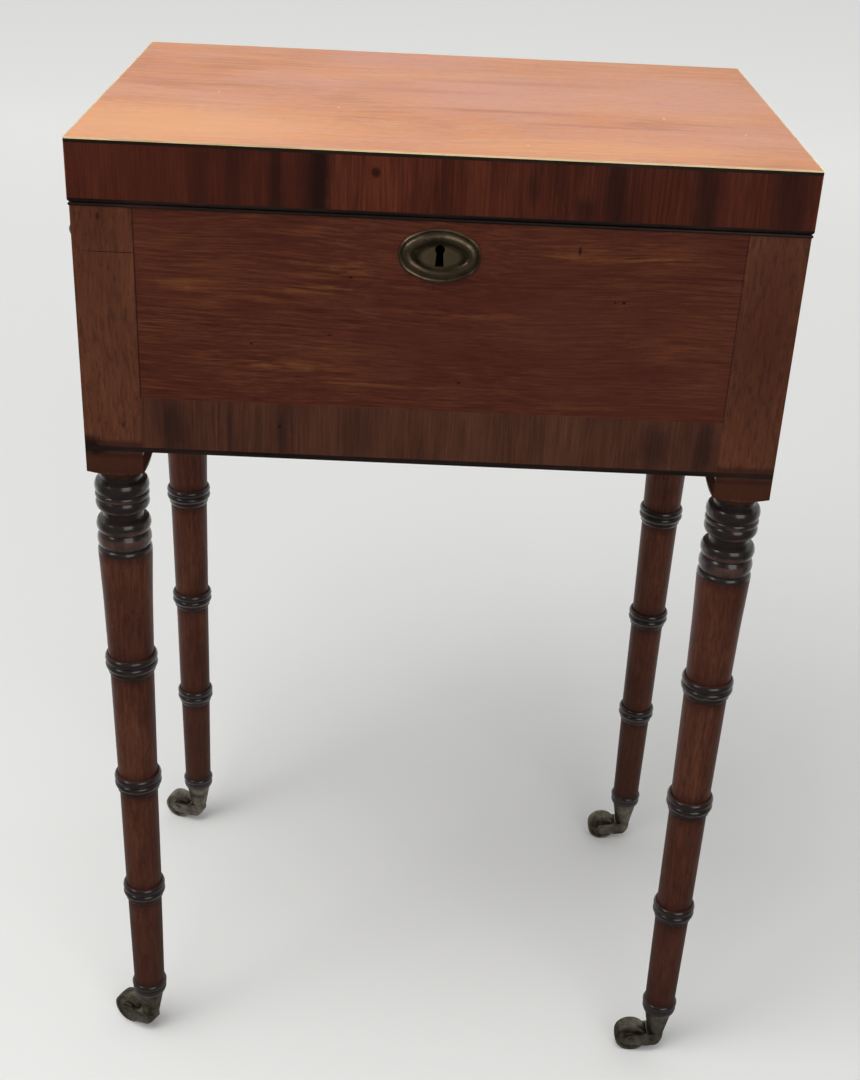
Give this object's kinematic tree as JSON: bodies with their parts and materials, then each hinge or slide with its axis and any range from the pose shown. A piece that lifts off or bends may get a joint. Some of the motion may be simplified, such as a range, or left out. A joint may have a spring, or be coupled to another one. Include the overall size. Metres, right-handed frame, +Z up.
{
  "type": "teapoy",
  "caption": "Small tea chest with a hinged lid, lock, swing handles and fitted inside, raised on turned and ringed legs with brass casters",
  "frame": {"origin": "On the floor under the middle of the cabinet.", "axes": "+X to the viewer's right along the chest's width, +Y from front to back, +Z up."},
  "size_m": [0.51, 0.3266, 0.744],
  "materials": {
    "carcass": "plain sawn wood, oiled",
    "crossbanding": "crossbanded veneer under old french polish",
    "mahogany_veneer": "figured veneer, faded, under old french polish",
    "ebony": "ebonised and polished",
    "turned_mahogany": "turned, polished, the rings ebonised",
    "inner_wood": "waxed",
    "boxwood": "polished, darkened with age",
    "old_brass": "dull old lacquered brass",
    "steel": "plain iron, slightly dark",
    "bowl_glass": "clear blown and cut glass"
  },
  "bodies": {
    "case": {"leg_front_left": "turned_mahogany", "leg_front_right": "turned_mahogany", "leg_back_left": "turned_mahogany", "leg_back_right": "turned_mahogany", "caster_cups": "old_brass", "front_board": "carcass", "back_board": "carcass", "left_board": "carcass", "right_board": "carcass", "bottom_board": "carcass", "rail_crossbands": "crossbanding", "panel_veneers": "mahogany_veneer", "base_stringing": "ebony", "rim_bead": "ebony", "partitions": "inner_wood", "bowl_platform": "inner_wood", "escutcheon": "old_brass", "lock_case": "old_brass", "hinge_leaves_case": "old_brass", "handle_roses": "old_brass", "handle_posts": "old_brass", "handle_nuts": "steel", "hinge_pins": "steel", "case_screws": "steel"},
    "lid": {"lid_front_rail": "carcass", "lid_back_rail": "carcass", "lid_left_rail": "carcass", "lid_right_rail": "carcass", "lid_top_board": "carcass", "lid_crossbands": "crossbanding", "lid_top_veneer": "mahogany_veneer", "lid_base_bead": "ebony", "lid_ebony_stringing": "ebony", "lid_boxwood_stringing": "boxwood", "link_plate": "old_brass", "hinge_leaves_lid": "old_brass", "lid_screws": "steel"},
    "lock_bolt": {"lock_bolt": "old_brass"},
    "bail_left": {"bail_left": "old_brass"},
    "bail_right": {"bail_right": "old_brass"},
    "canister_left": {"canister_left": "inner_wood"},
    "canister_lid_left": {"canister_lid_left": "inner_wood"},
    "canister_right": {"canister_right": "inner_wood"},
    "canister_lid_right": {"canister_lid_right": "inner_wood"},
    "bowl_front": {"bowl_front": "bowl_glass"},
    "bowl_back": {"bowl_back": "bowl_glass"},
    "caster_front_left_swivel": {"caster_front_left_horn": "old_brass"},
    "caster_front_left_wheel": {"caster_front_left_wheel": "old_brass"},
    "caster_front_right_swivel": {"caster_front_right_horn": "old_brass"},
    "caster_front_right_wheel": {"caster_front_right_wheel": "old_brass"},
    "caster_back_left_swivel": {"caster_back_left_horn": "old_brass"},
    "caster_back_left_wheel": {"caster_back_left_wheel": "old_brass"},
    "caster_back_right_swivel": {"caster_back_right_horn": "old_brass"},
    "caster_back_right_wheel": {"caster_back_right_wheel": "old_brass"}
  },
  "joints": [
    {"name": "lid_hinge", "type": "hinge", "parent": "case", "child": "lid", "pos_m": [0, 0.1624, 0.704], "axis": [-1, 0, 0], "range_deg": [0, 100]},
    {"name": "lock_bolt_slide", "type": "slide", "parent": "case", "child": "lock_bolt", "axis": [1, 0, 0], "range_m": [0, 0.0055]},
    {"name": "bail_left_swing", "type": "hinge", "parent": "case", "child": "bail_left", "pos_m": [-0.249, 0, 0.655], "axis": [0, 1, 0], "range_deg": [-24, 204]},
    {"name": "canister_left_lift", "type": "slide", "parent": "case", "child": "canister_left", "axis": [0, 0, 1], "range_m": [0, 0.016]},
    {"name": "canister_lid_left_lift", "type": "slide", "parent": "canister_left", "child": "canister_lid_left", "axis": [0, 0, 1], "range_m": [0, 0.018]},
    {"name": "bail_right_swing", "type": "hinge", "parent": "case", "child": "bail_right", "pos_m": [0.249, 0, 0.655], "axis": [0, -1, 0], "range_deg": [-24, 204]},
    {"name": "canister_right_lift", "type": "slide", "parent": "case", "child": "canister_right", "axis": [0, 0, 1], "range_m": [0, 0.016]},
    {"name": "canister_lid_right_lift", "type": "slide", "parent": "canister_right", "child": "canister_lid_right", "axis": [0, 0, 1], "range_m": [0, 0.018]},
    {"name": "bowl_front_lift", "type": "slide", "parent": "case", "child": "bowl_front", "axis": [0, 0, 1], "range_m": [0, 0.04]},
    {"name": "bowl_back_lift", "type": "slide", "parent": "case", "child": "bowl_back", "axis": [0, 0, 1], "range_m": [0, 0.04]},
    {"name": "caster_front_left_swivel", "type": "hinge", "parent": "case", "child": "caster_front_left_swivel", "pos_m": [-0.21, -0.139, 0.02], "axis": [0, 0, 1], "continuous": true},
    {"name": "caster_front_left_roll", "type": "hinge", "parent": "caster_front_left_swivel", "child": "caster_front_left_wheel", "pos_m": [-0.22775, -0.12875, 0.0132], "axis": [0.5, 0.866, 0], "continuous": true},
    {"name": "caster_front_right_swivel", "type": "hinge", "parent": "case", "child": "caster_front_right_swivel", "pos_m": [0.21, -0.139, 0.02], "axis": [0, 0, 1], "continuous": true},
    {"name": "caster_front_right_roll", "type": "hinge", "parent": "caster_front_right_swivel", "child": "caster_front_right_wheel", "pos_m": [0.1895, -0.139, 0.0132], "axis": [0, 1, 0], "continuous": true},
    {"name": "caster_back_left_swivel", "type": "hinge", "parent": "case", "child": "caster_back_left_swivel", "pos_m": [-0.21, 0.139, 0.02], "axis": [0, 0, 1], "continuous": true},
    {"name": "caster_back_left_roll", "type": "hinge", "parent": "caster_back_left_swivel", "child": "caster_back_left_wheel", "pos_m": [-0.22926, 0.14601, 0.0132], "axis": [0.342, 0.9397, 0], "continuous": true},
    {"name": "caster_back_right_swivel", "type": "hinge", "parent": "case", "child": "caster_back_right_swivel", "pos_m": [0.21, 0.139, 0.02], "axis": [0, 0, 1], "continuous": true},
    {"name": "caster_back_right_roll", "type": "hinge", "parent": "caster_back_right_swivel", "child": "caster_back_right_wheel", "pos_m": [0.1895, 0.139, 0.0132], "axis": [0, 1, 0], "continuous": true}
  ]
}
